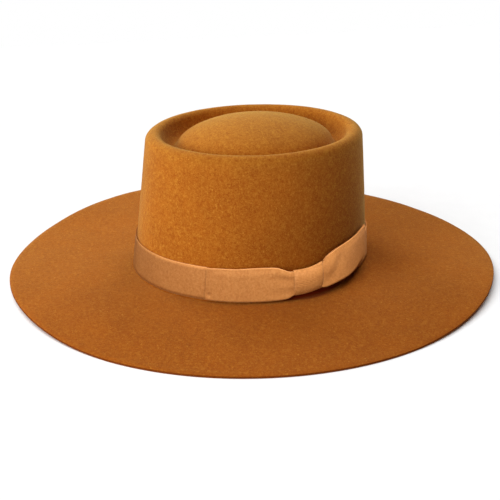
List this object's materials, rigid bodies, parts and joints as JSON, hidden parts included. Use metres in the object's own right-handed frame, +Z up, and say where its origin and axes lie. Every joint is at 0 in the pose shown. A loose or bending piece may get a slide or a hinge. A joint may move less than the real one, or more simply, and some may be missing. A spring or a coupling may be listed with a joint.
{
  "type": "wide-brimmed felt hat",
  "caption": "Wide flat-brimmed felt hat with a telescope crown, a ribbon band and a flat ribbon bow at its side, open underneath for the head.",
  "frame": {"origin": "on the surface that the hat lies on, under the centre of the brim's edge", "axes": "+Z up through the crown, -Y towards the hat's front, +X towards the wearer's left, the side with the bow"},
  "size_m": [0.3756, 0.4164, 0.1332],
  "materials": {
    "felt": "rust-orange fur felt with a short golden nap",
    "ribbon": "pinkish tan grosgrain ribbon with a satin sheen"
  },
  "bodies": {
    "root": {"felt_body": "felt", "ribbon_band": "ribbon", "bow_left_wing": "ribbon", "bow_right_wing": "ribbon", "bow_knot": "ribbon"}
  },
  "joints": []
}
